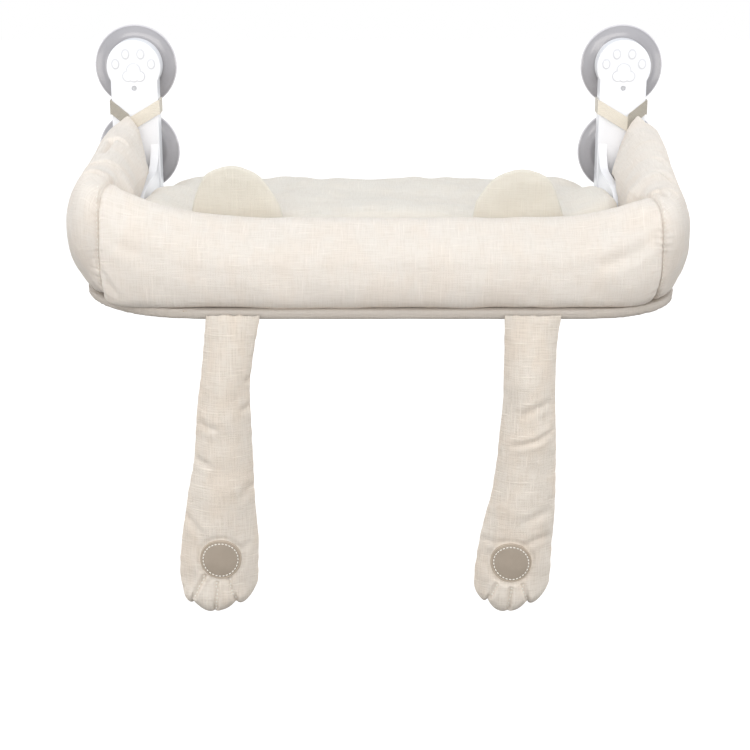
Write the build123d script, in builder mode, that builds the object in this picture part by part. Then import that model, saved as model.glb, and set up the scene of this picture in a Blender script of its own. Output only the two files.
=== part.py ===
from build123d import *
import math
import os

# A padded window bed for a cat, carried on two brackets with suction cups.
# The glass is the plane Y = 0 and the room lies toward -Y. X is right and Z is up.
# The origin is on the glass, on the midline, level with the underside of the base.

# Clearances, in millimetres like every size here
soft_gap = 0.3
fit_gap = 0.3
thread_gap = 0.05
overrun = 2.0

# Overall width over the side bolsters, which places the brackets, the base and the corners
bed_width = 541.0

# How far the webs of the brackets reach from the glass. The front bolster stands clear of
# them, and what lies in front follows it
web_reach = 215.0
web_to_bolster = 9.0
bolster_depth = 83.0
bolster_front_inner = web_reach + web_to_bolster
bolster_front = bolster_front_inner + bolster_depth

# Base: a stiff board in a sewn cover
base_front_inset = 6.0
base_side_inset = 9.5
base_width = bed_width - 2 * base_side_inset
base_front = bolster_front - base_front_inset
base_rear = 14.0
base_height = 8.0
base_corner_left = 104.0
base_corner_right = 78.0
base_rear_corner = 4.0
base_edge_round = 3.9
cover_cloth = 1.0

# Brackets: a hollow upright with a round head, a web and a foot that carry the board
bracket_inset = 34.0
bracket_x = bed_width / 2 - bracket_inset
arm_width = 45.0
arm_front = 36.0
arm_rear = 16.0
arm_wall = 2.5
arm_edge_round = 1.2
head_radius = 26.0
head_rise = 3.0
rear_plate_thick = 3.0
web_thick = 7.6
web_rim = 3.0
web_pocket = 4.8
web_top = 81.5
web_tip_height = 30.0
web_flat_end = 128.0
web_shoulder_reach = 163.0
web_shoulder_height = 72.0
elbow_radius = 27.0
elbow_bite = 0.5
foot_thick = 2.5

# Paw in relief on each bracket head
relief_height = 0.9
relief_round = 0.5
toe_width = 6.4
toe_height = 8.4
palm_radius = 6.4
palm_lobe_radius = 4.8
palm_drop = 5.4
toe_place_shares = ((-0.66, 0.12), (-0.28, 0.48), (0.28, 0.48), (0.66, 0.12))
palm_lobe_shares = ((-0.22, -0.12), (0.0, -0.14), (0.22, -0.12))

# Shell screws, two in each bracket
shell_screw_drop = 20.0
shell_screw_low = 40.0
shell_screw_shank = 2.4
shell_screw_head = 4.2
shell_screw_head_height = 1.3
shell_screw_recess = 1.5
shell_boss = 8.0
shell_screw_bite = 1.6
driver_slot = 0.8
driver_depth = 0.6

# Suction cups with a screw moulded into each
cup_outset = 2.0
cup_x = bracket_x + cup_outset
cup_upper_z = 175.5
cup_lower_z = 91.6
cup_radius = 40.0
cup_lip = 1.3
cup_lip_width = 2.5
cup_hollow = 3.0
cup_shoulder_radius = 30.0
cup_shoulder = 5.4
cup_neck_radius = 15.0
cup_neck = 11.0
cup_boss_radius = 11.0
stud_flange_radius = 8.0
stud_flange_thick = 2.0
stud_flange_at = 7.0
stud_shank = 6.0
stud_end = 27.0
stud_hole = 6.4
washer_diameter = 12.0
washer_thick = 1.2
nut_flats = 10.0
nut_thick = 5.0

# Bolts and tee nuts that hold the feet to the board
bolt_shank = 4.0
bolt_head = 7.6
bolt_head_height = 2.1
bolt_reach_shares = (0.25, 0.58, 0.92)
tee_flange = 15.0
tee_flange_thick = 1.2
tee_barrel = 5.6
tee_barrel_height = 3.0

# Straps, each a flat band round an upright from the tip of a side bolster
strap_thick = 1.2
strap_width = 13.8
strap_top = 147.0
strap_dip = 14.5
strap_dip_outset = 5.0
strap_dip_x = bracket_x + strap_dip_outset

# Bolsters
front_foot_draw = 7.0
inner_foot_draw = 8.0
crest_setback = 43.0
bolster_front_foot = bolster_front - front_foot_draw
bolster_inner_foot = bolster_front_inner + inner_foot_draw
bolster_front_crest = bolster_front - crest_setback
bolster_mid_top = 82.0
crest_half = 21.0
crest_rise_share = 0.62
crest_width_share = 0.36
waist_share = 0.45
side_foot_draw = 1.5
bolster_ease = 0.9
side_crest_share = 0.45
side_foot_inset = 11.9
side_foot_x = bed_width / 2 - side_foot_inset
bolster_corner = 70.0
side_tip_top = 133.0
side_tip_half = 6.0
side_tip_place_shares = (0.45, 0.68)
corner_seam_inset = 31.5
seam_front_x = bed_width / 2 - corner_seam_inset

# Across the front bolster: place along half of it, height over its middle height, then how
# far its bulge and its foot come out over their full sizes
front_end_inset = 25.5
front_half = bed_width / 2 - front_end_inset
front_stations_shares = ((-1.0, 1.43, 0.86, 0.65), (-0.87, 1.24, 0.99, 0.96), (-0.67, 1.08, 1.0, 1.0),
                         (-0.42, 1.01, 1.0, 1.0), (0.0, 1.0, 1.0, 1.0), (0.42, 1.0, 1.0, 1.0),
                         (0.67, 1.02, 1.0, 1.0), (0.87, 1.14, 0.99, 0.96), (1.0, 1.27, 0.86, 0.65))

# Along each side bolster from the room: place along its length, then height over the tip
# height on the left and on the right
side_height_shares = ((0.0, 0.62, 0.50), (0.035, 0.78, 0.66), (0.10, 0.865, 0.745), (0.16, 0.885, 0.77),
                      (0.26, 0.90, 0.79), (0.55, 0.93, 0.88), (0.82, 0.965, 0.955), (1.0, 1.0, 0.985))
# How much of its full bulge each section has round the front corner, then the places of the rest
corner_turn_shares = (0.08, 0.2, 0.34, 0.5, 0.66, 0.8, 0.92, 1.0)
side_rest_shares = (0.40, 0.55, 0.70, 0.82, 0.92, 1.0)
side_end_share = 0.80

# Seat pad
pad_rear = 25.0
pad_front_gap = 10.0
pad_front = bolster_front_inner - pad_front_gap
pad_crown = 72.5
pad_corner = 30.0
pad_waist_share = 0.40
pad_foot_draw = 8.0
pad_crown_inset = 19.0
pad_turn_shares = (0.0, 0.22, 0.42, 0.6, 0.76, 0.9, 1.0)

# Ears, flaps that stand behind the front bolster
ear_x = 122.0
ear_thick = 9.0
ear_width = 83.0
ear_height = 59.0
ear_root_z = 60.0
ear_left_setback = 3.2
ear_right_setback = 5.7
ear_left_hinge_y = bolster_front_inner + ear_left_setback
ear_right_hinge_y = bolster_front_inner + ear_right_setback
ear_edge_round = 4.2
ear_shoulder_shares = ((0.485, 0.48), (0.37, 0.85), (0.11, 1.0), (-0.25, 0.81), (-0.41, 0.46))

# Legs, stuffed and flat, that hang from the front seam
leg_to_base = 2.1
leg_hinge_y = base_front + leg_to_base
leg_hinge_z = 5.0
leg_length = 276.0
leg_left_x = -123.5
leg_right_x = 130.8
leg_thick = 27.0
leg_bend = 20.0
paw_width = 69.0
# Down a leg: drop, then bend of the left and of the right leg, width and thickness
leg_shares = ((0.0, 0.0, 0.0, 0.67, 0.09), (0.09, -0.18, -0.06, 0.64, 0.46),
              (0.21, -0.41, -0.07, 0.62, 0.86), (0.45, -0.58, -0.09, 0.75, 1.0),
              (0.65, -0.76, -0.29, 0.90, 1.0), (0.82, -0.90, -0.58, 1.0, 1.0),
              (0.93, -0.93, -0.66, 0.90, 0.80), (1.0, -0.98, -0.70, 0.48, 0.26))
paw_pad_radius = 18.2
paw_pad_thick = 1.2
paw_pad_gap = 0.2
paw_pad_drop_share = 0.80

# Worked out from the sizes above
head_z = cup_upper_z + head_rise
arm_inner_x = bracket_x - arm_width / 2
arm_outer_x = bracket_x + arm_width / 2
web_inner_x = arm_inner_x + arm_edge_round
web_outer_x = web_inner_x + web_thick
foot_under = base_height - foot_thick
shell_rear = arm_rear + rear_plate_thick
side_inner_x = web_outer_x + soft_gap + bolster_ease
side_outer_x = bed_width / 2
side_rear = arm_front + fit_gap + strap_thick + soft_gap
side_length = bolster_front - side_rear
pad_half = arm_inner_x - soft_gap
board_top = base_height
sides = ((-1, "left"), (1, "right"))
bolt_places = [web_reach * share for share in bolt_reach_shares]
bolt_x = (web_outer_x + arm_outer_x) / 2

os.makedirs("parts", exist_ok=True)


def save(builder, name):
    """Name a finished piece and write it to its own file."""
    builder.part.label = name
    export_step(builder.part, f"parts/{name}.step")


def room_plane(distance):
    """A plane parallel to the glass, this far into the room, with X right and Z up."""
    return Plane.XZ.offset(distance)


def side_plane(x):
    """A plane square to X, with Y across and Z up."""
    return Plane.YZ.offset(x)


def base_outline(inset):
    """The plan of the base, drawn in by a cloth's thickness or not at all."""
    half = base_width / 2 - inset
    front = -base_front + inset
    rear = -base_rear - inset
    small = max(base_rear_corner - inset, cover_cloth)
    with BuildSketch(Plane.XY) as outline:
        with Locations((0, (front + rear) / 2)):
            Rectangle(2 * half, rear - front)
        for corner_end, radius in ((0, base_corner_left), (-1, base_corner_right)):
            corner = outline.vertices().sort_by(Axis.X)[2 * corner_end:][:2].sort_by(Axis.Y)[0]
            fillet(corner, radius=radius - inset)
        fillet(outline.vertices().group_by(Axis.Y)[-1], radius=small)
    return outline.sketch


# Base cover and board
board_outline = base_outline(cover_cloth)
with BuildPart() as base_cover:
    with BuildSketch(Plane.XY):
        add(base_outline(0))
    extrude(amount=base_height)
    cover_edges = base_cover.edges().filter_by(GeomType.LINE).filter_by(Plane.XY)
    cover_arcs = base_cover.edges().filter_by(GeomType.CIRCLE).filter_by(Plane.XY)
    fillet((cover_edges + cover_arcs).group_by(Axis.Z)[0], radius=base_edge_round)
    with BuildSketch(Plane.XY.offset(cover_cloth)):
        add(base_outline(cover_cloth + base_edge_round))
    extrude(amount=base_height, mode=Mode.SUBTRACT)
    with BuildSketch(Plane.XY.offset(base_edge_round)):
        add(board_outline)
    extrude(amount=base_height, mode=Mode.SUBTRACT)
save(base_cover, "base_cover")


def bolt_spots(side):
    """Where the three bolts of one foot stand, in plan."""
    return [(side * bolt_x, -place) for place in bolt_places]


with BuildPart() as base_board:
    with BuildSketch(Plane.XY.offset(base_edge_round)):
        add(board_outline)
    extrude(amount=base_height - base_edge_round)
    with BuildSketch(Plane.XY.offset(cover_cloth)):
        add(base_outline(cover_cloth + base_edge_round))
    extrude(amount=base_height - cover_cloth)
    for side, side_name in sides:
        rebate_width = arm_width + 2 * fit_gap
        rebate_length = web_reach + fit_gap
        with BuildSketch(Plane.XY.offset(foot_under)):
            with Locations((side * bracket_x, -rebate_length / 2)):
                Rectangle(rebate_width, rebate_length)
        extrude(amount=foot_thick + overrun, mode=Mode.SUBTRACT)
        with BuildSketch(Plane.XY.offset(cover_cloth)):
            with Locations(*bolt_spots(side)):
                Circle(tee_flange / 2)
        extrude(amount=tee_flange_thick, mode=Mode.SUBTRACT)
        with BuildSketch(Plane.XY.offset(cover_cloth)):
            with Locations(*bolt_spots(side)):
                Circle(tee_barrel / 2)
        extrude(amount=base_height, mode=Mode.SUBTRACT)
save(base_board, "base_board")


# Tee nuts and bolts
with BuildPart() as tee_nuts:
    for side, side_name in sides:
        with BuildSketch(Plane.XY.offset(cover_cloth)):
            with Locations(*bolt_spots(side)):
                Circle(tee_flange / 2)
        extrude(amount=tee_flange_thick)
        with BuildSketch(Plane.XY.offset(cover_cloth + tee_flange_thick)):
            with Locations(*bolt_spots(side)):
                Circle(tee_barrel / 2)
        extrude(amount=tee_barrel_height)
        with BuildSketch(Plane.XY.offset(cover_cloth)):
            with Locations(*bolt_spots(side)):
                Circle(bolt_shank / 2 + thread_gap)
        extrude(amount=base_height, mode=Mode.SUBTRACT)
save(tee_nuts, "tee_nuts")

with BuildPart() as foot_bolts:
    for side, side_name in sides:
        for spot in bolt_spots(side):
            with BuildSketch(Plane.XY.offset(cover_cloth)):
                with Locations(spot):
                    Circle(bolt_shank / 2)
            extrude(amount=board_top - cover_cloth - bolt_head_height)
            with BuildSketch(Plane.XY.offset(board_top - bolt_head_height)):
                with Locations(spot):
                    Circle(bolt_shank / 2)
            with BuildSketch(Plane.XY.offset(board_top)):
                with Locations(spot):
                    Circle(bolt_head / 2)
            loft()
            with BuildSketch(Plane.XY.offset(board_top)):
                with Locations(spot):
                    SlotOverall(bolt_shank, driver_slot)
            extrude(amount=-driver_depth, mode=Mode.SUBTRACT)
save(foot_bolts, "foot_bolts")


def bracket_outline(side, shrink):
    """The front view of an upright: a straight arm under a round head."""
    with BuildSketch(room_plane(shell_rear)) as outline:
        with Locations((side * bracket_x, (foot_under + head_z) / 2)):
            Rectangle(arm_width, head_z - foot_under)
        with Locations((side * bracket_x, head_z)):
            Circle(head_radius)
        if shrink > 0:
            offset(amount=-shrink, kind=Kind.INTERSECTION)
    return outline.sketch


def screw_spots(side):
    """Where the two shell screws of one bracket go, in front view."""
    return [(side * bracket_x, head_z - shell_screw_drop), (side * bracket_x, shell_screw_low)]


def cup_spots(side):
    """The middles of the two cups of one bracket, in front view."""
    return [(side * cup_x, cup_upper_z), (side * cup_x, cup_lower_z)]


def web_outline(plane, inset):
    """The side view of the web: an elbow, a level run and a shoulder that falls to the tip."""
    top = web_top - inset
    tip = web_reach - inset
    elbow_end = arm_front + elbow_radius
    bend = elbow_radius * (1 - math.sqrt(0.5))
    shoulder = (-web_shoulder_reach + inset / 2, web_shoulder_height - inset)
    with BuildSketch(plane) as web:
        with BuildLine():
            if inset == 0:
                rear = arm_front - arm_wall / 2
                Line((-rear, foot_under), (-tip, foot_under))
                Line((-tip, foot_under), (-tip, web_tip_height))
                Line((-elbow_end, top), (-web_flat_end, top))
                arc_end = (elbow_bite - arm_front, top + elbow_radius)
                ThreePointArc((-elbow_end, top), (-arm_front - bend, top + bend), arc_end)
                Line(arc_end, (-rear, top + elbow_radius))
                Line((-rear, top + elbow_radius), (-rear, foot_under))
            else:
                rear = arm_front + inset
                Line((-rear, board_top + inset), (-tip, board_top + inset))
                Line((-tip, board_top + inset), (-tip, web_tip_height - inset))
                Line((-rear, top), (-web_flat_end, top))
                Line((-rear, top), (-rear, board_top + inset))
            ThreePointArc((-tip, web_tip_height - inset), shoulder, (-web_flat_end, top))
        make_face()
    return web.sketch


def make_bracket(side, side_name):
    """One L bracket: a hollow upright open at the back, with its web and foot."""
    depth = arm_front - shell_rear
    with BuildPart() as bracket:
        with BuildSketch(room_plane(shell_rear)):
            add(bracket_outline(side, 0))
        extrude(amount=depth)
        front_rim = bracket.edges().group_by(Axis.Y)[0]
        fillet(front_rim, radius=arm_edge_round)
        with BuildSketch(room_plane(shell_rear)):
            add(bracket_outline(side, arm_wall))
        extrude(amount=depth - arm_wall, mode=Mode.SUBTRACT)
        with BuildSketch(room_plane(shell_rear)):
            with Locations(*screw_spots(side)):
                Circle(shell_boss / 2)
        extrude(amount=depth - arm_wall / 2)
        # Web on the inner side and foot under the side bolster
        extrude(web_outline(side_plane(side * web_inner_x), 0), amount=side * web_thick)
        pocket = web_outline(side_plane(side * web_outer_x), web_rim)
        extrude(pocket, amount=-side * web_pocket, mode=Mode.SUBTRACT)
        with BuildSketch(Plane.XY.offset(foot_under)):
            with Locations((side * bracket_x, -(arm_front - arm_wall + web_reach) / 2)):
                Rectangle(arm_width, web_reach - arm_front + arm_wall)
        extrude(amount=foot_thick)
        with BuildSketch(Plane.XY.offset(foot_under)):
            with Locations(*bolt_spots(side)):
                Circle(bolt_shank / 2 + fit_gap)
        extrude(amount=foot_thick, mode=Mode.SUBTRACT)
        for spot in bolt_spots(side):
            with BuildSketch(Plane.XY.offset(board_top - bolt_head_height)):
                with Locations(spot):
                    Circle(bolt_shank / 2 + fit_gap)
            with BuildSketch(Plane.XY.offset(board_top)):
                with Locations(spot):
                    Circle(bolt_head / 2 + fit_gap)
            loft(mode=Mode.SUBTRACT)
        # Screw holes, with a recess for each head
        with BuildSketch(room_plane(shell_rear)):
            with Locations(*screw_spots(side)):
                Circle(shell_screw_shank / 2 + thread_gap)
        extrude(amount=depth, mode=Mode.SUBTRACT)
        with BuildSketch(room_plane(arm_front)):
            with Locations(*screw_spots(side)):
                Circle(shell_screw_head / 2 + fit_gap)
        extrude(amount=-shell_screw_recess, mode=Mode.SUBTRACT)
        # Paw in relief: four toes over a palm with three lobes
        for across, up in toe_place_shares:
            with BuildSketch(room_plane(arm_front)):
                with Locations((side * bracket_x + across * head_radius, head_z + up * head_radius)):
                    Ellipse(toe_width / 2, toe_height / 2)
            extrude(amount=relief_height)
        with BuildSketch(room_plane(arm_front)):
            with Locations((side * bracket_x, head_z - palm_drop + palm_lobe_radius / 2)):
                Circle(palm_radius)
            for across, up in palm_lobe_shares:
                with Locations((side * bracket_x + across * head_radius,
                                head_z - palm_drop + up * head_radius)):
                    Circle(palm_lobe_radius)
        extrude(amount=relief_height)
        relief_face = -arm_front - relief_height
        rims = bracket.edges().filter_by_position(Axis.Y, relief_face - thread_gap, relief_face + thread_gap)
        fillet(rims, radius=relief_round)
    save(bracket, f"bracket_{side_name}")


def make_rear_plate(side, side_name):
    """The flat cover that closes the back of an upright and carries both cups."""
    with BuildPart() as plate:
        with BuildSketch(room_plane(arm_rear)):
            add(bracket_outline(side, 0))
        extrude(amount=rear_plate_thick)
        with BuildSketch(room_plane(arm_rear)):
            with Locations(*cup_spots(side)):
                Circle(stud_hole / 2)
        extrude(amount=rear_plate_thick, mode=Mode.SUBTRACT)
        with BuildSketch(room_plane(shell_rear)):
            with Locations(*screw_spots(side)):
                Circle(shell_screw_shank / 2 + thread_gap)
        extrude(amount=-shell_screw_bite - thread_gap, mode=Mode.SUBTRACT)
    save(plate, f"rear_plate_{side_name}")


for side, side_name in sides:
    make_bracket(side, side_name)
    make_rear_plate(side, side_name)

# Shell screws: a pan head in its recess, a shank down the boss into the rear plate
with BuildPart() as shell_screws:
    head_under = arm_front - shell_screw_recess
    for side, side_name in sides:
        with BuildSketch(room_plane(head_under)):
            with Locations(*screw_spots(side)):
                Circle(shell_screw_head / 2)
        extrude(amount=shell_screw_head_height)
        with BuildSketch(room_plane(shell_rear - shell_screw_bite)):
            with Locations(*screw_spots(side)):
                Circle(shell_screw_shank / 2)
        extrude(amount=head_under - shell_rear + shell_screw_bite)
        with BuildSketch(room_plane(head_under + shell_screw_head_height)):
            with Locations(*screw_spots(side)):
                SlotOverall(shell_screw_head - driver_slot, driver_slot)
        extrude(amount=-driver_depth, mode=Mode.SUBTRACT)
save(shell_screws, "shell_screws")


def cup_plane(spot):
    """A plane through a cup's axis, with X across and Y along the axis."""
    return Plane(origin=(spot[0], 0, spot[1]), x_dir=(1, 0, 0), z_dir=(0, 0, 1))


def cup_axis(spot):
    """The axis of a cup, square to the glass."""
    return Axis((spot[0], 0, spot[1]), (0, 1, 0))


def make_cup(spot, name):
    """A soft cup: a thin lip on the glass, a domed back and a boss against the rear plate."""
    dome_mid = ((cup_radius + cup_shoulder_radius) / 2, -(cup_lip + cup_shoulder) / 2 - cup_lip / 2)
    hollow_edge = cup_radius - cup_lip_width
    with BuildPart() as cup:
        with BuildSketch(cup_plane(spot)):
            with BuildLine():
                Line((hollow_edge, 0), (cup_radius, 0))
                Line((cup_radius, 0), (cup_radius, -cup_lip))
                ThreePointArc((cup_radius, -cup_lip), dome_mid, (cup_shoulder_radius, -cup_shoulder))
                Line((cup_shoulder_radius, -cup_shoulder), (cup_neck_radius, -cup_neck))
                Line((cup_neck_radius, -cup_neck), (cup_boss_radius, -cup_neck))
                Line((cup_boss_radius, -cup_neck), (cup_boss_radius, -arm_rear))
                Line((cup_boss_radius, -arm_rear), (0, -arm_rear))
                Line((0, -arm_rear), (0, -cup_hollow))
                ThreePointArc((0, -cup_hollow), (hollow_edge / 2, -cup_hollow * 3 / 4), (hollow_edge, 0))
            make_face()
        revolve(axis=cup_axis(spot))
        add(make_stud(spot), mode=Mode.SUBTRACT)
    save(cup, name)


def make_stud(spot):
    """The moulded-in screw of a cup: a flange in the boss and a shank toward the room."""
    with BuildPart() as stud:
        with BuildSketch(room_plane(stud_flange_at)):
            with Locations(spot):
                Circle(stud_flange_radius)
        extrude(amount=stud_flange_thick)
        with BuildSketch(room_plane(stud_flange_at + stud_flange_thick)):
            with Locations(spot):
                Circle(stud_shank / 2)
        extrude(amount=stud_end - stud_flange_at - stud_flange_thick)
    return stud.part


for side, side_name in sides:
    for level, spot in zip(("upper", "lower"), cup_spots(side)):
        make_cup(spot, f"suction_cup_{level}_{side_name}")

with BuildPart() as cup_studs:
    for side, side_name in sides:
        for spot in cup_spots(side):
            add(make_stud(spot))
save(cup_studs, "cup_studs")

with BuildPart() as cup_washers:
    for side, side_name in sides:
        with BuildSketch(room_plane(shell_rear)):
            with Locations(*cup_spots(side)):
                Circle(washer_diameter / 2)
                Circle(stud_hole / 2, mode=Mode.SUBTRACT)
        extrude(amount=washer_thick)
save(cup_washers, "cup_washers")

with BuildPart() as cup_nuts:
    for side, side_name in sides:
        with BuildSketch(room_plane(shell_rear + washer_thick)):
            with Locations(*cup_spots(side)):
                RegularPolygon(nut_flats / 2, 6, major_radius=False)
                Circle(stud_shank / 2 + thread_gap, mode=Mode.SUBTRACT)
        extrude(amount=nut_thick)
save(cup_nuts, "cup_nuts")


def make_strap(side, side_name):
    """A flat band round an upright that dips in front to the tip of the side bolster."""
    inner_width = arm_width + 2 * fit_gap
    inner_depth = arm_front - arm_rear + 2 * fit_gap
    mid_depth = (arm_front + arm_rear) / 2
    low = strap_top - strap_width
    far = arm_width
    with BuildPart() as strap:
        with BuildSketch(Plane.XY.offset(low - strap_dip - overrun)):
            with Locations((side * bracket_x, -mid_depth)):
                Rectangle(inner_width + 2 * strap_thick, inner_depth + 2 * strap_thick)
                Rectangle(inner_width, inner_depth, mode=Mode.SUBTRACT)
        extrude(amount=strap_width + strap_dip + 2 * overrun)
        # The front run is a V and the runs at the sides and behind are level
        with BuildSketch(room_plane(mid_depth)):
            with BuildLine():
                Polyline((side * (bracket_x - far), low), (side * arm_inner_x, low),
                         (side * strap_dip_x, low - strap_dip), (side * arm_outer_x, low),
                         (side * (bracket_x + far), low), (side * (bracket_x + far), low - far),
                         (side * (bracket_x - far), low - far), close=True)
            make_face()
            with BuildLine():
                Polyline((side * (bracket_x - far), strap_top), (side * arm_inner_x, strap_top),
                         (side * strap_dip_x, strap_top - strap_dip), (side * arm_outer_x, strap_top),
                         (side * (bracket_x + far), strap_top), (side * (bracket_x + far), strap_top + far),
                         (side * (bracket_x - far), strap_top + far), close=True)
            make_face()
        extrude(amount=far, mode=Mode.SUBTRACT)
        for edge, way in ((low, -1), (strap_top, 1)):
            with BuildSketch(room_plane(mid_depth)):
                with Locations((side * bracket_x, edge + way * far / 2)):
                    Rectangle(2 * far, far)
            extrude(amount=-far, mode=Mode.SUBTRACT)
    save(strap, f"strap_{side_name}")


for side, side_name in sides:
    make_strap(side, side_name)


def bolster_section(plane, foot, bulge, crest, top, half):
    """A stuffed section: flat at the seam, swollen both ways, with a rounded crest."""
    shoulder = top - crest_rise_share * half
    waist = board_top + waist_share * (shoulder - board_top)
    way = math.copysign(half, bulge[1] - bulge[0])
    with BuildSketch(plane) as section:
        with BuildLine():
            Line((foot[0], board_top), (foot[1], board_top))
            ThreePointArc((foot[1], board_top), (bulge[1], waist), (crest + way, shoulder))
            ThreePointArc((crest + way, shoulder), (crest, top), (crest - way, shoulder))
            ThreePointArc((crest - way, shoulder), (bulge[0], waist), (foot[0], board_top))
        make_face()
    return section.sketch


def corner_seam(side):
    """The upright plane where the front bolster meets a side bolster, facing the midline."""
    across = seam_front_x - side_inner_x
    along = bolster_front - bolster_front_inner
    return Plane(origin=(side * seam_front_x, -bolster_front, 0), x_dir=(0, 0, 1),
                 z_dir=(-side * along, -across, 0))


def make_front_bolster():
    """The long bolster across the front, low in the middle and higher at the corners."""
    bulge_out = bolster_front - bolster_front_inner
    foot_out = bolster_front_foot - bolster_inner_foot
    with BuildPart() as bolster:
        for place, height, bulge, foot in front_stations_shares:
            add(bolster_section(side_plane(place * front_half),
                                (-bolster_inner_foot, -bolster_inner_foot - foot_out * foot),
                                (-bolster_front_inner, -bolster_front_inner - bulge_out * bulge),
                                -bolster_front_crest, bolster_mid_top * height, crest_half))
        loft()
        for side, side_name in sides:
            split(bisect_by=corner_seam(side), keep=Keep.TOP)
    save(bolster, "front_bolster")


def share_at(place, column):
    """The height of a side bolster at a place along it, read off its table."""
    for before, after in zip(side_height_shares, side_height_shares[1:]):
        if place <= after[0]:
            part_way = (place - before[0]) / (after[0] - before[0])
            return before[column] + part_way * (after[column] - before[column])
    return side_height_shares[-1][column]


def corner_reach(half, corner, from_front):
    """How far out a plan with a rounded front corner is, this far back from its front."""
    left = max(corner - max(from_front, 0), 0)
    return half - corner + math.sqrt(corner ** 2 - left ** 2)


def corner_depth(half, corner, reach):
    """How far back from its front a plan with a rounded corner has this reach."""
    across = max(reach - half + corner, 0)
    return corner - math.sqrt(max(corner ** 2 - across ** 2, 0))


def make_side_bolster(side, side_name, height_column, base_corner):
    """A bolster that wraps its front corner and rises to a leaf-shaped rear end."""
    foot_in = side_inner_x + side_foot_draw
    foot_corner = base_corner - (base_width / 2 - side_foot_x)
    full = side_outer_x - side_inner_x
    stops = [(share * full, corner_depth(side_outer_x, bolster_corner, side_inner_x + share * full))
             for share in corner_turn_shares]
    stops += [(full, place * side_length) for place in side_rest_shares]
    tip_place = side_tip_place_shares[height_column - 1]
    with BuildPart() as bolster:
        for bulge, distance in stops:
            at_end = distance == side_length
            bulge = side_end_share * bulge if at_end else bulge
            foot_from = distance - bolster_front + bolster_front_foot
            foot = max(corner_reach(side_foot_x, foot_corner, foot_from), foot_in + side_foot_draw)
            crest_share = side_crest_share + (tip_place - side_crest_share) * distance / side_length
            crest = side_inner_x + crest_share * bulge
            top = side_tip_top * share_at(distance / side_length, height_column)
            half = side_tip_half if at_end else crest_width_share * bulge
            add(bolster_section(room_plane(bolster_front - distance),
                                (side * foot_in, side * foot),
                                (side * side_inner_x, side * (side_inner_x + bulge)),
                                side * crest, top, half))
        loft(ruled=True)
        split(bisect_by=corner_seam(side), keep=Keep.BOTTOM)
    save(bolster, f"side_bolster_{side_name}")


make_front_bolster()
make_side_bolster(-1, "left", 1, base_corner_left)
make_side_bolster(1, "right", 2, base_corner_right)

# Seat pad: drawn-in at the foot, widest at the waist, then over a low crown
with BuildPart() as seat_pad:
    pad_middle = -(pad_rear + pad_front) / 2
    pad_depth = pad_front - pad_rear
    pad_waist = board_top + pad_waist_share * (pad_crown - board_top)
    pad_levels = [(board_top, pad_foot_draw)]
    for turn in pad_turn_shares:
        angle = turn * math.pi / 2
        pad_levels.append((pad_waist + (pad_crown - pad_waist) * math.sin(angle),
                           pad_crown_inset * (1 - math.cos(angle))))
    for level, inset in pad_levels:
        with BuildSketch(Plane.XY.offset(level)):
            with Locations((0, pad_middle)):
                RectangleRounded(2 * (pad_half - inset), pad_depth - 2 * inset, pad_corner)
    loft()
save(seat_pad, "seat_pad")


def make_ear(side, side_name, hinge_y):
    """An ear flap, steep outside and gentle inside, with a rounded root on its fold."""
    outline = [(side * (ear_x + across * ear_width), ear_root_z + up * ear_height)
               for across, up in ear_shoulder_shares]
    outer_foot = (side * (ear_x + ear_width / 2), ear_root_z)
    inner_foot = (side * (ear_x - ear_width / 2), ear_root_z)
    with BuildPart() as ear:
        with BuildSketch(room_plane(hinge_y - ear_thick / 2)):
            with BuildLine():
                ThreePointArc(outer_foot, outline[0], outline[1])
                ThreePointArc(outline[1], outline[2], outline[3])
                ThreePointArc(outline[3], outline[4], inner_foot)
                Line(inner_foot, outer_foot)
            make_face()
        extrude(amount=ear_thick)
        rims = ear.edges().filter_by(Plane.XZ)
        fillet(rims, radius=ear_edge_round)
    save(ear, f"ear_{side_name}")


make_ear(-1, "left", ear_left_hinge_y)
make_ear(1, "right", ear_right_hinge_y)


def leg_section(top_x, bend, drop, width, thick):
    """A stuffed leg's section: two arcs that meet at the side seams."""
    middle = top_x + bend * leg_bend
    half = width * paw_width / 2
    swell = thick * leg_thick / 2
    left = (middle - half, -leg_hinge_y)
    right = (middle + half, -leg_hinge_y)
    with BuildSketch(Plane.XY.offset(leg_hinge_z - drop * leg_length)) as section:
        with BuildLine():
            ThreePointArc(left, (middle, -leg_hinge_y - swell), right)
            ThreePointArc(right, (middle, -leg_hinge_y + swell), left)
        make_face()
    return section.sketch


def leg_loft(top_x, bend_column, extra):
    """A leg from its seam to its toes, swollen by an extra thickness where one is asked."""
    with BuildPart() as leg:
        for row in leg_shares:
            thick = row[4] + 2 * extra / leg_thick
            width = row[3] + extra / paw_width
            add(leg_section(top_x, row[bend_column], row[0], width, thick))
        loft()
    return leg


def make_leg(side_name, top_x, bend_column, pad_bend):
    """One hanging leg with its round pad laid on the front of the paw."""
    leg = leg_loft(top_x, bend_column, 0)
    save(leg, f"leg_{side_name}")
    seat = leg_loft(top_x, bend_column, paw_pad_gap)
    swollen = leg_loft(top_x, bend_column, paw_pad_gap + paw_pad_thick)
    with BuildPart() as paw_pad:
        with BuildSketch(room_plane(leg_hinge_y)):
            with Locations((top_x + pad_bend * leg_bend, leg_hinge_z - paw_pad_drop_share * leg_length)):
                Circle(paw_pad_radius)
        extrude(amount=leg_thick)
        add(swollen.part, mode=Mode.INTERSECT)
        add(seat.part, mode=Mode.SUBTRACT)
    save(paw_pad, f"paw_pad_{side_name}")


make_leg("left", leg_left_x, 1, -0.80)
make_leg("right", leg_right_x, 2, -0.72)
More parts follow.
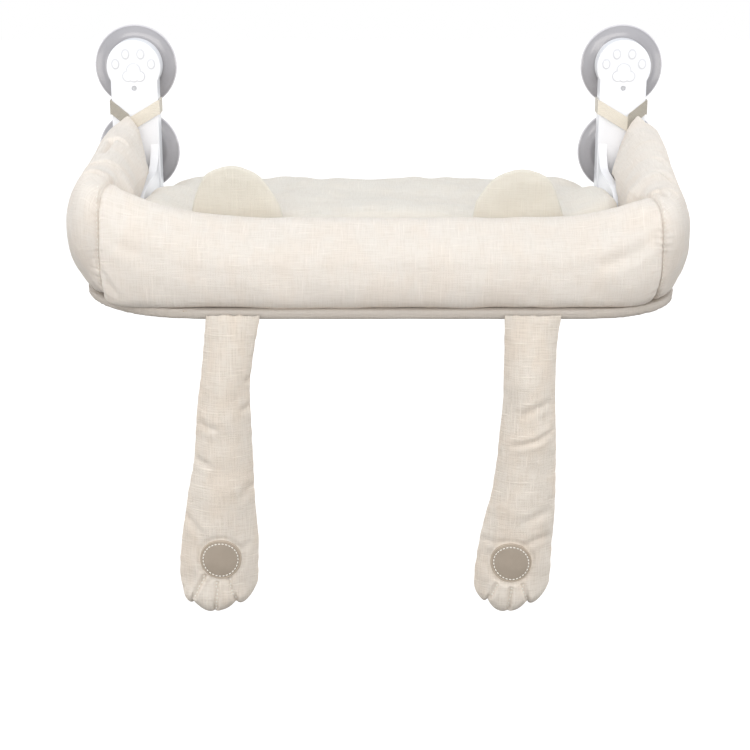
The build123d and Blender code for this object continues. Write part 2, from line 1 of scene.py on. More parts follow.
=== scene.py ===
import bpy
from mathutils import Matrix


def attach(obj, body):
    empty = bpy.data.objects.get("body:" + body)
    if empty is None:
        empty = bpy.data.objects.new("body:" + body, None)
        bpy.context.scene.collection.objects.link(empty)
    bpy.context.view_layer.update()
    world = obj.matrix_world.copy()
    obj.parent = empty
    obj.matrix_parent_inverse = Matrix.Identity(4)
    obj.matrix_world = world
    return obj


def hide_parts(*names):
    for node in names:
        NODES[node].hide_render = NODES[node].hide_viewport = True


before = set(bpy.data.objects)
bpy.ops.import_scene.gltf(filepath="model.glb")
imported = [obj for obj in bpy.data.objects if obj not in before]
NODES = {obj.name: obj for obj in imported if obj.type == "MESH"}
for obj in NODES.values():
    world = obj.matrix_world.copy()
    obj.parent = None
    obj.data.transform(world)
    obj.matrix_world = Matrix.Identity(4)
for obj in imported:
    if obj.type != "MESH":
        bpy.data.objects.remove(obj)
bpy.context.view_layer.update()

import math

import bmesh
import bpy
import numpy as np
from bpy.props import FloatProperty, FloatVectorProperty, PointerProperty
from mathutils import Matrix, Vector
from mathutils.bvhtree import BVHTree

bl_info = {
    "name": "Window cat perch",
    "version": (1, 0, 0),
    "blender": (4, 5, 0),
    "location": "3D View > Sidebar > Perch",
    "description": "Sews and dresses a padded window perch round its packed frame",
    "category": "Object",
}

MM = 0.001

# Places on the brackets and their cups, in mm
CUP_X, CUP_UPPER, CUP_LOWER = 238.5, 175.5, 91.6
BRACKET_X, HEAD_Z, STRAP_DIP = 236.5, 178.5, 241.5
# The toes and the ball of the paw in relief: across and up from the head's middle, half width, half height
PAW_RELIEF = (
    (-17.2, 3.1, 3.2, 4.2), (-7.3, 12.5, 3.2, 4.2), (7.3, 12.5, 3.2, 4.2), (17.2, 3.1, 3.2, 4.2),
    (0.0, -3.0, 6.4, 6.4), (-5.7, -8.5, 4.8, 4.8), (0.0, -9.0, 4.8, 4.8), (5.7, -8.5, 4.8, 4.8),
)
# Step of the fine grid of threads, and of the ribs of the tape
THREAD_STEP, RIB_STEP = 0.85 * MM, 1.6 * MM
# Cell of the skins that are thin
THIN_CELL = 2.4 * MM
# The cloth that is stuffed, and the frames that it takes
STUFFING = {
    "quality": 5, "mass": 0.3, "tension_stiffness": 12.0, "compression_stiffness": 12.0,
    "shear_stiffness": 4.0, "bending_stiffness": 0.4, "use_pressure": True, "uniform_pressure_force": 4.0,
}
STUFFING_FRAMES = 20
# Rays that find the front of a piece start here and go to the window
ROOM_Y, TO_WINDOW = -0.35, Vector((0.0, 1.0, 0.0))


# Sizes and colours that a user would change

def size(label, text, default):
    """A length property in metres."""
    return FloatProperty(name=label, description=text, default=default, min=0.0, unit="LENGTH", precision=4)


def shade(label, text, default):
    """A colour property, in linear values."""
    return FloatVectorProperty(name=label, description=text, default=default, size=3,
                               min=0.0, max=1.0, subtype="COLOR")


class PerchSizes(bpy.types.PropertyGroup):
    """Sizes of the sewn work."""
    bolster_mesh: size("Bolster mesh", "Cell of the cloth skin of a bolster", 4.2 * MM)
    pad_mesh: size("Pad mesh", "Cell of the cloth skin of the seat pad", 5.5 * MM)
    slack: size("Slack", "How much smaller a cover is cut before it is stuffed", 1.6 * MM)
    swell: size("Swell", "How far the stuffing may push a cover out", 3.4 * MM)
    stray: size("Stray", "How far a stuffed cover may end from its plain shape", 0.8 * MM)
    pucker: size("Pucker", "Height of the gathers beside a seam", 0.42 * MM)
    stitch: size("Stitch", "Length of one stitch", 2.2 * MM)
    stitch_gap: size("Stitch gap", "Space between two stitches", 1.3 * MM)
    thread: size("Thread", "Thickness of the sewing thread", 0.75 * MM)
    floor_drop: size("Floor drop", "How far below the base the floor lies", 620 * MM)


class PerchColours(bpy.types.PropertyGroup):
    """Colours of the cloth, plastic and metal."""
    linen: shade("Linen", "Cover cloth of the bolsters", (0.865, 0.80, 0.73))
    pad: shade("Pad linen", "Cover cloth of the seat pad", (0.85, 0.80, 0.725))
    leg: shade("Leg linen", "Cover cloth of the legs", (0.85, 0.775, 0.69))
    # Set darker than the linen: painted shade on the base band below the bolsters
    cover: shade("Sleeve", "Cloth sleeve of the base", (0.62, 0.56, 0.50))
    ear: shade("Ear cloth", "Cloth of the ear flaps", (0.80, 0.75, 0.655))
    tape: shade("Tape", "Cotton tape of the straps", (0.78, 0.72, 0.62))
    paw: shade("Paw pad", "Leather patch on a paw", (0.36, 0.30, 0.24))
    thread: shade("Thread", "Sewing thread", (0.97, 0.94, 0.87))
    shell: shade("Shell", "Plastic of the brackets", (0.90, 0.905, 0.935))
    vinyl: shade("Vinyl", "Soft plastic of the suction cups", (0.385, 0.375, 0.395))
    steel: shade("Steel", "Zinc plated steel", (0.55, 0.56, 0.58))
    board: shade("Board", "Plywood of the base", (0.55, 0.40, 0.24))


# Finishes: a socket that takes sums, and a material that takes nodes

class Wire:
    """An output socket on which sums are written as plain Python."""

    def __init__(self, finish, socket):
        self.finish = finish
        self.socket = socket

    def sum(self, operation, *values):
        return self.finish.node("ShaderNodeMath", {"operation": operation}, dict(enumerate(values)))

    def __add__(self, other):
        return self.sum("ADD", self, other)

    def __sub__(self, other):
        return self.sum("SUBTRACT", self, other)

    def __rsub__(self, other):
        return self.sum("SUBTRACT", other, self)

    def __mul__(self, other):
        return self.sum("MULTIPLY", self, other)

    def __pow__(self, other):
        return self.sum("POWER", self, other)

    def __abs__(self):
        return self.sum("ABSOLUTE", self)

    __radd__ = __add__
    __rmul__ = __mul__

    def least(self, other):
        """The smaller of two values."""
        return self.sum("MINIMUM", self, other)

    def waves(self, step):
        """A wave that comes back after each step."""
        return self.sum("SINE", self * (math.tau / step))

    def clear(self, low, high):
        """0 below low, 1 above high, and a smooth rise between them."""
        return self.finish.node("ShaderNodeMapRange", {"interpolation_type": "SMOOTHSTEP"},
                                {"Value": self, "From Min": low, "From Max": high})


class Finish:
    """A material or a world built from nodes."""

    def __init__(self, name, kind="materials"):
        self.owner = getattr(bpy.data, kind).new(name)
        self.owner.use_nodes = True
        self.tree = self.owner.node_tree
        self.tree.nodes.clear()

    def node(self, kind, settings=None, values=None, output=0):
        """Adds a node, sets it up, and feeds its sockets with numbers, colours or wires."""
        made = self.tree.nodes.new(kind)
        for name, value in (settings or {}).items():
            setattr(made, name, value)
        for name, value in (values or {}).items():
            socket = made.inputs[name]
            if isinstance(value, Wire):
                self.tree.links.new(value.socket, socket)
            else:
                socket.default_value = value
        return Wire(self, made.outputs[output]) if made.outputs else made

    def place(self, scale=(1, 1, 1), weave=False):
        """The point on the piece, or on its laid-out cloth, stretched by scale."""
        if weave:
            point = self.node("ShaderNodeUVMap", {"uv_map": "weave"})
        else:
            point = self.node("ShaderNodeTexCoord", output=3)
        return self.node("ShaderNodeMapping", None, {"Vector": point, "Scale": scale})

    def axes(self, weave=False):
        """The three coordinates of the point, each as a wire of its own."""
        parts = self.node("ShaderNodeSeparateXYZ", None, {0: self.place(weave=weave)})
        return [Wire(self, part) for part in parts.socket.node.outputs]

    def noise(self, point, scale=1.0, detail=2.0, rough=0.5):
        """Soft noise, from 0 to 1."""
        return self.node("ShaderNodeTexNoise", None,
                         {"Vector": point, "Scale": scale, "Detail": detail, "Roughness": rough})

    def cloth_noise(self, across, along, detail, rough):
        """Noise on the laid-out cloth, with its own scale along the weft and the warp."""
        return self.noise(self.place((across, along, 1.0), weave=True), 1.0, detail, rough)

    def blend(self, share, first, second):
        """Mixes two colours."""
        return self.node("ShaderNodeMix", {"data_type": "RGBA"}, {0: share, 6: first, 7: second}, output=2)

    def by_ray(self, lit, seen):
        """One shader for the rays of the light, and one for what shows to the eye, in gloss or through."""
        rays = self.node("ShaderNodeLightPath").socket.node.outputs
        eye, glossy, through = (Wire(self, rays[name]) for name in
                                ("Is Camera Ray", "Is Glossy Ray", "Is Transmission Ray"))
        share = (eye + glossy + through).clear(0.0, 1.0)
        return self.node("ShaderNodeMixShader", None, {0: share, 1: lit, 2: seen})

    def relief(self, height, depth, strength):
        return self.node("ShaderNodeBump", None, {"Height": height, "Distance": depth, "Strength": strength})

    def surface(self, **values):
        """The Principled shader and the output. Spaces in socket names are underscores."""
        named = {name.replace("_", " "): value for name, value in values.items()}
        body = self.node("ShaderNodeBsdfPrincipled", None, named)
        self.node("ShaderNodeOutputMaterial", None, {"Surface": body})
        return self.owner


def rgba(colour, factor=1.0):
    """A colour with its alpha, times one factor or one for each channel, and 1 at most."""
    return (*np.minimum(np.array(colour) * factor, 1.0), 1.0)


def linen_finish(name, colour, slub=1.0, blush=1.0, nap=0.0):
    """Slubbed plain weave: fine crossing threads, some of them thick and pale."""
    finish = Finish(name)
    weft = finish.cloth_noise(62.0, 1000.0, 2.0, 0.55)
    warp = finish.cloth_noise(1000.0, 54.0, 2.0, 0.55)
    rare_weft = finish.cloth_noise(36.0, 560.0, 1.0, 0.5).clear(0.60, 0.76)
    rare_warp = finish.cloth_noise(600.0, 30.0, 1.0, 0.5).clear(0.61, 0.77)
    cloud = finish.cloth_noise(30.0, 17.0, 4.0, 0.62)
    across, along = finish.axes(weave=True)[:2]
    grid = across.waves(THREAD_STEP) * along.waves(THREAD_STEP)
    threads = weft + warp
    slubs = rare_weft + rare_warp
    tone = finish.blend(cloud.clear(0.40, 0.64) * (0.60 * blush), rgba(colour),
                        rgba(colour, (1.0, 0.963, 0.93)))
    between = 1.0 - (threads - 1.0).clear(-0.28, 0.12)
    tone = finish.blend(between * (0.30 * slub), tone, rgba(colour, (0.76, 0.72, 0.67)))
    tone = finish.blend(slubs.clear(0.05, 1.0) * (0.45 * slub), tone, rgba(colour, 1.14))
    height = threads * 0.50 + slubs * (0.22 * slub) + grid * 0.20
    if nap:
        height = height + finish.noise(finish.place((1500.0, 1500.0, 1500.0))) * nap
    return finish.surface(Base_Color=tone, Roughness=threads * 0.08 + 0.80,
                          Normal=finish.relief(height, 0.8 * MM, 0.85), Sheen_Weight=0.12,
                          Sheen_Roughness=0.45, Specular_IOR_Level=0.25)


def plain_finish(name, colour, rough, grain, depth, metallic=0.0):
    """Thread or metal with a fine grain and a little wear."""
    finish = Finish(name)
    fine = finish.noise(finish.place(), grain, 3.0, 0.55)
    worn = finish.noise(finish.place(), 28.0).clear(0.35, 0.65)
    return finish.surface(Base_Color=finish.blend(worn * 0.5, rgba(colour), rgba(colour, 0.94)),
                          Roughness=fine * 0.12 + (rough - 0.06), Metallic=metallic,
                          Normal=finish.relief(fine, depth, 0.4))


def bracket_finish(name, colour):
    """Glossy white moulding, with the shade that gathers round the paw in relief on each head."""
    finish = Finish(name)
    fine = finish.noise(finish.place(), 900.0, 3.0, 0.55)
    across, deep, up = finish.axes()
    across = abs(across) - BRACKET_X * MM
    up = up - HEAD_Z * MM
    gaps = []
    for middle, height, wide, high in PAW_RELIEF:
        out = (across - middle * MM) * (1 / wide)
        rise = (up - height * MM) * (1 / high)
        gaps.append(((out * out + rise * rise) ** 0.5 - 1.0 * MM) * min(wide, high))
    nearest = gaps[0]
    for gap in gaps[1:]:
        nearest = nearest.least(gap)
    line = 1.0 - abs(nearest - 0.15 * MM).clear(0.15 * MM, 0.9 * MM)
    front = (0.0 - deep).clear(30 * MM, 33 * MM)
    return finish.surface(Base_Color=finish.blend(line * front * 0.55, rgba(colour), rgba(colour, 0.62)),
                          Roughness=fine * 0.12 + 0.27, Normal=finish.relief(fine, 0.04 * MM, 0.4),
                          Coat_Weight=0.25, Coat_Roughness=0.12)


def tape_finish(name, colour):
    """Ribbed tape. Beyond the dip its rough side shows, with real ribs and a painted shade that darkens it.
    """
    finish = Finish(name)
    ribs = finish.axes(weave=True)[1].waves(RIB_STEP)
    fuzz = finish.cloth_noise(240.0, 900.0, 3.0, 0.6)
    shaded_rough_side = abs(finish.axes()[0]).clear((STRAP_DIP + 0.6) * MM, (STRAP_DIP + 1.0) * MM)
    tone = finish.blend(fuzz.clear(0.35, 0.7) * 0.5, rgba(colour), rgba(colour, 0.88))
    # Painted shade: the rough side is darker, and darkest between its ribs
    shaded_rough_tone = finish.blend(ribs.clear(-0.6, 0.8), rgba(colour, 0.45), rgba(colour, 0.80))
    height = ribs * 0.25 + fuzz + ribs * shaded_rough_side * 0.6
    return finish.surface(Base_Color=finish.blend(shaded_rough_side, tone, shaded_rough_tone), Roughness=0.85,
                          Normal=finish.relief(height, 0.5 * MM, 0.7), Sheen_Weight=0.1)


def cup_finish(name, colour):
    """Clear grey vinyl, with a painted shadow of the bracket round its head, a slightly darker band inside
    the rim, and a painted highlight on its rim.
    """
    finish = Finish(name)
    fine = finish.noise(finish.place(), 600.0, 3.0, 0.55)
    across, _, up = finish.axes()
    across = abs(across) - CUP_X * MM
    rise = abs(up - CUP_UPPER * MM).least(abs(up - CUP_LOWER * MM))
    reach = (across * across + rise * rise) ** 0.5
    # Painted shadow: darker round the bracket's head
    tone = finish.blend(reach.clear(26 * MM, 29.5 * MM), rgba(colour, 0.70), rgba(colour))
    tone = finish.blend(reach.clear(36 * MM, 38.5 * MM) * 0.35, tone, rgba(colour, 0.80))
    # Painted highlight: a thin pale line on the rim
    tone = finish.blend(reach.clear(38.7 * MM, 39.3 * MM) * 0.7, tone, rgba(colour, 1.9))
    return finish.surface(Base_Color=tone, Roughness=fine * 0.1 + 0.24,
                          Normal=finish.relief(fine, 0.05 * MM, 0.4), Coat_Weight=0.5, Coat_Roughness=0.1)


def wood_finish(name, colour):
    """Plywood with long soft grain."""
    finish = Finish(name)
    grain = finish.noise(finish.place((12.0, 160.0, 40.0)), 1.0, 4.0, 0.6)
    return finish.surface(Base_Color=finish.blend(grain.clear(0.3, 0.7), rgba(colour), rgba(colour, 0.72)),
                          Roughness=grain * 0.2 + 0.5, Normal=finish.relief(grain, 0.3 * MM, 0.4))


def leather_finish(name, colour):
    """Smooth leather with a fine pebble, paler on the piping round it."""
    finish = Finish(name)
    pebble = finish.node("ShaderNodeTexVoronoi", {"feature": "F1"},
                         {"Vector": finish.place(), "Scale": 1300.0})
    cloud = finish.noise(finish.place(), 90.0, 3.0, 0.6)
    tone = finish.blend(cloud.clear(0.3, 0.7) * 0.6, rgba(colour), rgba(colour, 0.90))
    piping = finish.axes(weave=True)[0].clear(16.25 * MM, 16.45 * MM)
    return finish.surface(Base_Color=finish.blend(piping, tone, rgba(colour, 1.28)),
                          Roughness=cloud * 0.15 + 0.48,
                          Normal=finish.relief(pebble * 0.5 + cloud * 0.5, 0.3 * MM, 0.5))


# Of each slot: the function that makes its finish, the colour it takes, and the function's other values
FINISHES = {
    "linen": (linen_finish, "linen"),
    "pad_linen": (linen_finish, "pad", 0.8, 0.6),
    "cover_cloth": (linen_finish, "cover", 0.5, 0.4),
    "leg_linen": (linen_finish, "leg", 1.7, 1.5),
    "ear_cloth": (linen_finish, "ear", 0.7, 0.3, 0.3),
    "strap_web": (tape_finish, "tape"),
    "paw_leather": (leather_finish, "paw"),
    "thread": (plain_finish, "thread", 0.75, 2400.0, 0.2 * MM),
    "bracket": (bracket_finish, "shell"),
    "cup_vinyl": (cup_finish, "vinyl"),
    "zinc_steel": (plain_finish, "steel", 0.34, 1800.0, 0.04 * MM, 1.0),
    "board": (wood_finish, "board"),
}
# The materials made so far, by slot
MADE = {}


def finish_of(slot):
    """The material of a slot, made once from the scene's colours."""
    if slot not in MADE:
        maker, colour, *values = FINISHES[slot]
        MADE[slot] = maker(slot, getattr(bpy.context.scene.perch_colours, colour), *values)
    return MADE[slot]


# Shares and fields, in which a number is in mm and an array in metres

def ramp(values, start, span):
    """0 up to start, and 1 from start + span on."""
    return np.clip((values - start * MM) / (span * MM), 0, 1)


def fall(values, start, span):
    """0 from start on, and 1 up to start - span."""
    return ramp(-values, -start, span)


def bell(gap, width, middle=0.0):
    """1 at the middle, and dying out about a width from it."""
    return np.exp(-((gap - middle * MM) / (width * MM)) ** 2)


def upright(facing):
    """1 where the cloth stands upright, and 0 where it lies flat."""
    return np.clip(1.0 - np.abs(facing[:, 2]), 0.0, 1.0)


def to_room(facing, gain=1.6):
    """1 where the cloth faces the room, and 0 where it faces sideways or the window."""
    return np.clip(-facing[:, 1] * gain, 0, 1)


def raised(spots, facing, rise):
    """The points, each moved along its normal."""
    return spots + facing * rise[:, None]


def lumps(spots, wave, seed):
    """A soft uneven field of about unit height and the given wavelength."""
    dice = np.random.default_rng(seed)
    count = 14
    field = np.zeros(len(spots))
    for _ in range(count):
        way = dice.normal(size=3)
        way = way / np.linalg.norm(way)
        stretch = math.tau / (wave * MM * dice.uniform(0.7, 1.5))
        field += np.sin(spots @ way * stretch + dice.uniform(0, math.tau))
    return field / math.sqrt(count / 2)


def rises(spots, *waves):
    """The sum of some uneven fields, each given by its wavelength, its height and its seed."""
    return sum(lumps(spots, wave, seed) * height * MM for wave, height, seed in waves)


def walk(line):
    """The length of each part of a broken line, and how far along it each corner lies."""
    lengths = np.linalg.norm(np.diff(line, axis=0), axis=1)
    return lengths, np.concatenate([[0.0], np.cumsum(lengths)])


def off_line(spots, line):
    """Distance of each point from a broken line, and the share of the line where it is nearest."""
    lengths, walked = walk(line)
    best = np.full(len(spots), np.inf)
    share = np.zeros(len(spots))
    for place in range(len(line) - 1):
        way = line[place + 1] - line[place]
        part = np.clip((spots - line[place]) @ way / (way @ way), 0, 1)
        gap = np.linalg.norm(spots - line[place] - part[:, None] * way, axis=1)
        nearer = gap < best
        best[nearer] = gap[nearer]
        share[nearer] = (walked[place] + part * lengths[place])[nearer] / walked[-1]
    return best, share


def spread(line, step):
    """Points at even steps along a broken line."""
    walked = walk(line)[1]
    stops = np.arange(0.0, walked[-1], step)
    return np.stack([np.interp(stops, walked, column) for column in line.T], axis=1)


# Cloth work: skins, stuffing, folds and stitches

def points_of(piece):
    """The vertices of a piece and their normals, as arrays."""
    count = len(piece.data.vertices)
    spots = np.zeros(count * 3)
    facing = np.zeros(count * 3)
    piece.data.vertices.foreach_get("co", spots)
    piece.data.vertices.foreach_get("normal", facing)
    return spots.reshape(-1, 3), facing.reshape(-1, 3)


def move_points(piece, spots):
    """Puts the vertices of a piece where the array says."""
    piece.data.vertices.foreach_set("co", np.ascontiguousarray(spots).ravel())
    piece.data.update()


def link_piece(name, data):
    """A new object of the scene with the given mesh, lamp or camera."""
    piece = bpy.data.objects.new(name, data)
    bpy.context.scene.collection.objects.link(piece)
    return piece


def piece_of(name, shape):
    """A new piece with the faces of a bmesh, which is let go."""
    mesh = bpy.data.meshes.new(name)
    shape.to_mesh(mesh)
    shape.free()
    return link_piece(name, mesh)


def skin_of(node, name):
    """A copy of a plain solid as one closed skin."""
    skin = bmesh.new()
    skin.from_mesh(NODES[node].data)
    bmesh.ops.remove_doubles(skin, verts=skin.verts, dist=0.02 * MM)
    bmesh.ops.recalc_face_normals(skin, faces=skin.faces)
    return piece_of(name, skin)


def cut(shape, spot, way, clear_outer=False):
    """Cuts a bmesh along a plane, and clears what lies beyond it where that is asked."""
    bmesh.ops.bisect_plane(shape, geom=shape.verts[:] + shape.edges[:] + shape.faces[:], dist=1e-7,
                           plane_co=spot, plane_no=way, clear_outer=clear_outer)


def surface_of(piece):
    """The surface of a piece as it is now, ready for rays and nearest points."""
    return BVHTree.FromObject(piece, bpy.context.evaluated_depsgraph_get())


def settle(piece):
    """Keeps what the modifiers have made of a piece, and drops them."""
    bpy.context.view_layer.update()
    graph = bpy.context.evaluated_depsgraph_get()
    made = bpy.data.meshes.new_from_object(piece.evaluated_get(graph))
    old = piece.data
    piece.modifiers.clear()
    piece.data = made
    name = old.name
    bpy.data.meshes.remove(old)
    made.name = name


def modify(piece, kind, **settings):
    """Puts one modifier on a piece and keeps what it makes."""
    change = piece.modifiers.new(kind, kind)
    for name, value in settings.items():
        setattr(change, name, value)
    settle(piece)


def reskin(piece, cell):
    """Lays an even net of cells over a piece."""
    modify(piece, "REMESH", mode="VOXEL", voxel_size=cell)


def refine(piece, levels):
    """Subdivides a piece smoothly."""
    modify(piece, "SUBSURF", levels=levels, render_levels=levels)


def smooth_out(piece, rounds):
    """Takes the sharp buckles out of a stuffed cover."""
    modify(piece, "SMOOTH", factor=0.5, iterations=rounds)


def stuff(piece, slack, swell):
    """Blows the cover up from a slightly smaller cut, by at most the swell."""
    spots, facing = points_of(piece)
    start = spots - facing * slack
    move_points(piece, start)
    cloth = piece.modifiers.new("Cloth", "CLOTH")
    for name, value in STUFFING.items():
        setattr(cloth.settings, name, value)
    cloth.settings.effector_weights.gravity = 0.0
    cloth.point_cache.frame_start = 1
    cloth.point_cache.frame_end = STUFFING_FRAMES
    for moment in range(1, STUFFING_FRAMES + 1):
        bpy.context.scene.frame_set(moment)
    settle(piece)
    shift = points_of(piece)[0] - start
    reach = np.linalg.norm(shift, axis=1)
    share = np.minimum(1.0, swell / np.maximum(reach, 1e-9))
    move_points(piece, start + shift * share[:, None])


def keep_near(piece, plain, stray):
    """Draws each point back to within stray of a plain solid's surface."""
    spots = points_of(piece)[0]
    for place, spot in enumerate(spots):
        near = np.array(plain.find_nearest(Vector(spot))[0])
        shift = spot - near
        far = np.linalg.norm(shift)
        if far > stray:
            spots[place] = near + shift * (stray / far)
    move_points(piece, spots)


def press_fold(spots, facing, line, depth, width, lip=0.35, ends=True):
    """Presses a crease along a line into the cloth, with a low swelling beside it.

    A line of two numbers a point, across and up, is pressed into the side that faces the room.
    The crease dies out at its ends.
    """
    line = np.array(line) * MM
    flat = line.shape[1] == 2
    gap, share = off_line(spots[:, [0, 2]] if flat else spots, line)
    fade = to_room(facing) if flat else 1.0
    if ends:
        fade = np.sin(np.clip(share, 0.0, 1.0) * math.pi) ** 0.5 * fade
    lips = bell(gap, 1.1 * width, 2.0 * width)
    return raised(spots, facing, (lips * lip - bell(gap, width)) * depth * MM * fade)


def gathers(spots, facing, away, along, height, reach, step, seed):
    """Small puckers square to a seam, which die out away from it. The lengths are in metres."""
    dice = np.random.default_rng(seed)
    wave = np.zeros(len(spots))
    for _ in range(5):
        wave += np.sin(along * math.tau / (step * dice.uniform(0.75, 1.6)) + dice.uniform(0, math.tau)
                       + away / reach * dice.uniform(-1.2, 1.2))
    return raised(spots, facing, wave / 2.2 * height * np.exp(-away / reach))


def lay_cloth(piece, across, along):
    """Lays the cloth out: where each point lies along its weft and its warp, in metres."""
    layer = piece.data.uv_layers.new(name="weave")
    corners = np.zeros(len(piece.data.loops), np.int64)
    piece.data.loops.foreach_get("vertex_index", corners)
    flat = np.stack([across[corners], along[corners]], axis=1)
    layer.data.foreach_set("uv", flat.ravel())


def wear(piece, slot, body, *nodes, rounded=True):
    """Gives a finished piece its material and its body, and hides the plain solids that it stands for."""
    piece.data.materials.clear()
    piece.data.materials.append(finish_of(slot))
    if rounded:
        piece.data.polygons.foreach_set("use_smooth", np.ones(len(piece.data.polygons), bool))
    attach(piece, body)
    if nodes:
        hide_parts(*nodes)


def dress(nodes, slot):
    """Gives plain solids that stay in view their finish."""
    for node in nodes:
        NODES[node].data.materials.clear()
        NODES[node].data.materials.append(finish_of(slot))


def cast(piece, places):
    """What a ray from the room meets of a piece at each place across and up: the point and its normal."""
    surface = surface_of(piece)
    return [surface.ray_cast(Vector((x, ROOM_Y, z)), TO_WINDOW)[:2] for x, z in places]


def sew(name, spots, length, thick, lift=0.0):
    """A row of stitches: one small bead of thread at each spot, along the row."""
    row = bmesh.new()
    for place, (spot, facing) in enumerate(spots):
        ahead = spots[min(place + 1, len(spots) - 1)][0] - spots[max(place - 1, 0)][0]
        if ahead.length < 1e-9:
            continue
        ahead.normalize()
        up = facing.normalized()
        side = up.cross(ahead).normalized()
        turn = Matrix((ahead, side, up)).transposed().to_4x4()
        shape = Matrix.Diagonal((length / 2, thick / 2, thick / 2, 1.0))
        bmesh.ops.create_icosphere(row, subdivisions=1, radius=1.0,
                                   matrix=Matrix.Translation(spot + up * lift) @ turn @ shape)
    bmesh.ops.recalc_face_normals(row, faces=row.faces)
    return piece_of(name, row)


# The stage: of each lamp its place, what it lights, its width, its height and its watts

LAMPS = (
    ("top_lamp", (0.0, -0.75, 1.75), (0.0, -0.24, 0.05), 1.7, 1.0, 3.5),
    ("front_lamp", (-0.15, -2.2, 0.8), (0.0, -0.2, -0.08), 1.6, 0.8, 16.0),
    ("left_lamp", (-1.9, -1.0, -0.15), (-0.2, -0.2, 0.0), 1.2, 1.2, 10.0),
    ("right_lamp", (1.9, -1.0, -0.15), (0.2, -0.2, 0.0), 1.2, 1.2, 10.0),
)
LAMP_COLOUR = (1.0, 0.965, 0.92)
SKY_COLOUR, WHITE, FLOOR_COLOUR = (0.92, 0.96, 1.0, 1.0), (1.0, 1.0, 1.0, 1.0), (0.16, 0.155, 0.15, 1.0)
FLOOR_HALF = 7.0
EYE, EYE_DOWN = (0.0, -1.734, 0.403), 17.5
LENS, SENSOR, LENS_SHIFT = 84.0, 36.0, -0.0049


class PERCH_OT_stage(bpy.types.Operator):
    """Sets up the pale floor, the soft studio lamps and the camera."""
    bl_idname = "perch.stage"
    bl_label = "Studio"

    def execute(self, context):
        floor = bmesh.new()
        bmesh.ops.create_grid(floor, x_segments=8, y_segments=8, size=FLOOR_HALF)
        bmesh.ops.translate(floor, verts=floor.verts, vec=(0, 0, -context.scene.perch_sizes.floor_drop))
        ground = piece_of("floor", floor)
        ground.data.materials.append(self.paper())
        context.scene.world = self.sky()
        for name, spot, target, wide, high, power in LAMPS:
            lamp = bpy.data.lights.new(name, "AREA")
            lamp.shape = "RECTANGLE"
            lamp.size = wide
            lamp.size_y = high
            lamp.energy = power
            lamp.color = LAMP_COLOUR
            holder = link_piece(name, lamp)
            holder.location = spot
            holder.rotation_euler = (Vector(target) - Vector(spot)).to_track_quat("-Z", "Y").to_euler()
        eye = bpy.data.cameras.new("camera")
        eye.sensor_width = SENSOR
        eye.lens = LENS
        eye.shift_x = LENS_SHIFT
        holder = link_piece("camera", eye)
        holder.location = EYE
        holder.rotation_euler = (math.radians(90.0 - EYE_DOWN), 0.0, 0.0)
        context.scene.camera = holder
        context.scene.view_settings.view_transform = "Standard"
        return {"FINISHED"}

    def paper(self):
        """White paper that shows white to the eye and in gloss, and takes the shadow."""
        finish = Finish("floor_paper")
        matt = finish.node("ShaderNodeBsdfDiffuse", None, {"Color": FLOOR_COLOUR})
        bright = finish.node("ShaderNodeEmission", None, {"Color": WHITE, "Strength": 1.0})
        both = finish.node("ShaderNodeAddShader", None, {0: matt, 1: bright})
        finish.node("ShaderNodeOutputMaterial", None, {"Surface": finish.by_ray(matt, both)})
        return finish.owner

    def sky(self):
        """A world that lights softly and is white behind the part."""
        finish = Finish("studio", "worlds")
        soft = finish.node("ShaderNodeBackground", None, {"Color": SKY_COLOUR, "Strength": 1.0})
        white = finish.node("ShaderNodeBackground", None, {"Color": WHITE, "Strength": 1.0})
        finish.node("ShaderNodeOutputWorld", None, {"Surface": finish.by_ray(soft, white)})
        return finish.owner


# The hard pieces

class PERCH_OT_brackets(bpy.types.Operator):
    """Finishes the moulded brackets, their rear plates and their fasteners."""
    bl_idname = "perch.brackets"
    bl_label = "Brackets"

    def execute(self, context):
        dress(("bracket_left", "bracket_right", "rear_plate_left", "rear_plate_right"), "bracket")
        dress(("shell_screws", "foot_bolts", "tee_nuts",
               "cup_studs", "cup_washers", "cup_nuts"), "zinc_steel")
        dress(("base_board",), "board")
        return {"FINISHED"}


class PERCH_OT_cups(bpy.types.Operator):
    """Finishes the suction cups."""
    bl_idname = "perch.cups"
    bl_label = "Suction cups"

    def execute(self, context):
        dress(("suction_cup_upper_left", "suction_cup_upper_right",
               "suction_cup_lower_left", "suction_cup_lower_right"), "cup_vinyl")
        return {"FINISHED"}


# The base: how thick the sleeve lies on the board's top, on its sides, and more on its rim

SLEEVE_TOP, SLEEVE_SIDE, SLEEVE_RIM = 0.35, 0.9, 1.5


class PERCH_OT_base(bpy.types.Operator):
    """Sews the cloth sleeve round the board."""
    bl_idname = "perch.base"
    bl_label = "Base cover"

    def execute(self, context):
        piece = skin_of("base_board", "base_wrap")
        reskin(piece, THIN_CELL)
        spots, facing = points_of(piece)
        edge = upright(facing)
        rim = np.clip(1.0 - np.abs(np.abs(facing[:, 2]) - 0.7) / 0.45, 0.0, 1.0)
        thick = np.where(facing[:, 2] > 0.95, SLEEVE_TOP * MM, SLEEVE_SIDE * MM) + rim * SLEEVE_RIM * MM
        ripple = rises(spots, (34, 0.30, 5), (90, 0.35, 6))
        spots = raised(spots, facing, thick + np.maximum(ripple * edge, -0.5 * MM))
        x, y, z = spots.T
        z += np.clip(lumps(spots, 120, 8), -1, 1) * 0.5 * MM * edge
        move_points(piece, spots)
        lay_cloth(piece, x, y + z)
        wear(piece, "cover_cloth", "bed", "base_cover")
        return {"FINISHED"}


# The bolsters: two points of a corner seam, how far each seam is sewn beyond it, the corner's middle
# and radius, the tip that each upper end is drawn to, and the line, depth and width of each fold

